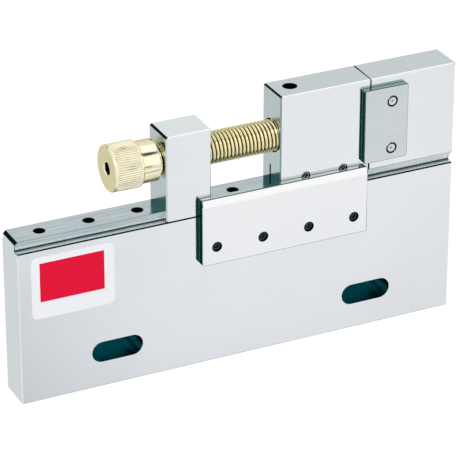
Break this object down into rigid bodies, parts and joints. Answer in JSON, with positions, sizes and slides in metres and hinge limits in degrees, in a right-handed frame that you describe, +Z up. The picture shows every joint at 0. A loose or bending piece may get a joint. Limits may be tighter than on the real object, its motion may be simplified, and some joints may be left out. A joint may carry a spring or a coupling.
{
  "type": "precision vise",
  "caption": "Slim ground toolmaker's vise with a stepping nut block, brass clamping screw and closing jaw, made to stand on its long edge or bolt through slots.",
  "frame": {"origin": "middle of the body's bottom face, halfway along its length and its thickness", "axes": "+X along the body towards the fixed jaw, +Y from the labelled front to the back, +Z up"},
  "size_m": [0.235, 0.0262, 0.1355],
  "materials": {
    "ground_steel": "hardened tool steel, ground and lapped bright",
    "brass": "turned and polished brass",
    "black_screw": "black oxide screw steel",
    "pin_steel": "hardened pin and screw steel, ground",
    "label": "white self-adhesive label with a plain red field"
  },
  "bodies": {
    "base": {"body": "ground_steel", "guide_plate": "ground_steel", "support_plate": "ground_steel", "label": "label", "guide_screw_1": "black_screw", "guide_screw_2": "black_screw", "guide_screw_3": "black_screw", "guide_screw_4": "black_screw", "support_screw_1": "pin_steel", "support_screw_2": "pin_steel"},
    "carriage": {"nut_block": "ground_steel"},
    "index_pin": {"index_pin": "pin_steel"},
    "moving_jaw": {"moving_jaw": "ground_steel", "gib_screw_1": "pin_steel", "gib_screw_2": "pin_steel", "retaining_screw": "black_screw"},
    "lead_screw": {"lead_screw": "brass"}
  },
  "joints": [
    {"name": "carriage_slide", "type": "slide", "parent": "base", "child": "carriage", "axis": [1, 0, 0], "range_m": [-0.0765, 0]},
    {"name": "index_pin_slide", "type": "slide", "parent": "carriage", "child": "index_pin", "axis": [0, 0, 1], "range_m": [-0.0065, 0]},
    {"name": "jaw_slide", "type": "slide", "parent": "carriage", "child": "moving_jaw", "axis": [1, 0, 0], "range_m": [-0.034, 0]},
    {"name": "screw_turn", "type": "hinge", "parent": "moving_jaw", "child": "lead_screw", "pos_m": [0.0305, 0.0005, 0.1113], "axis": [1, 0, 0], "range_deg": [-6121, 0]}
  ],
  "couplings": [
    {"joint": "screw_turn", "follows": "jaw_slide", "rad_per_m": 3141.6}
  ]
}
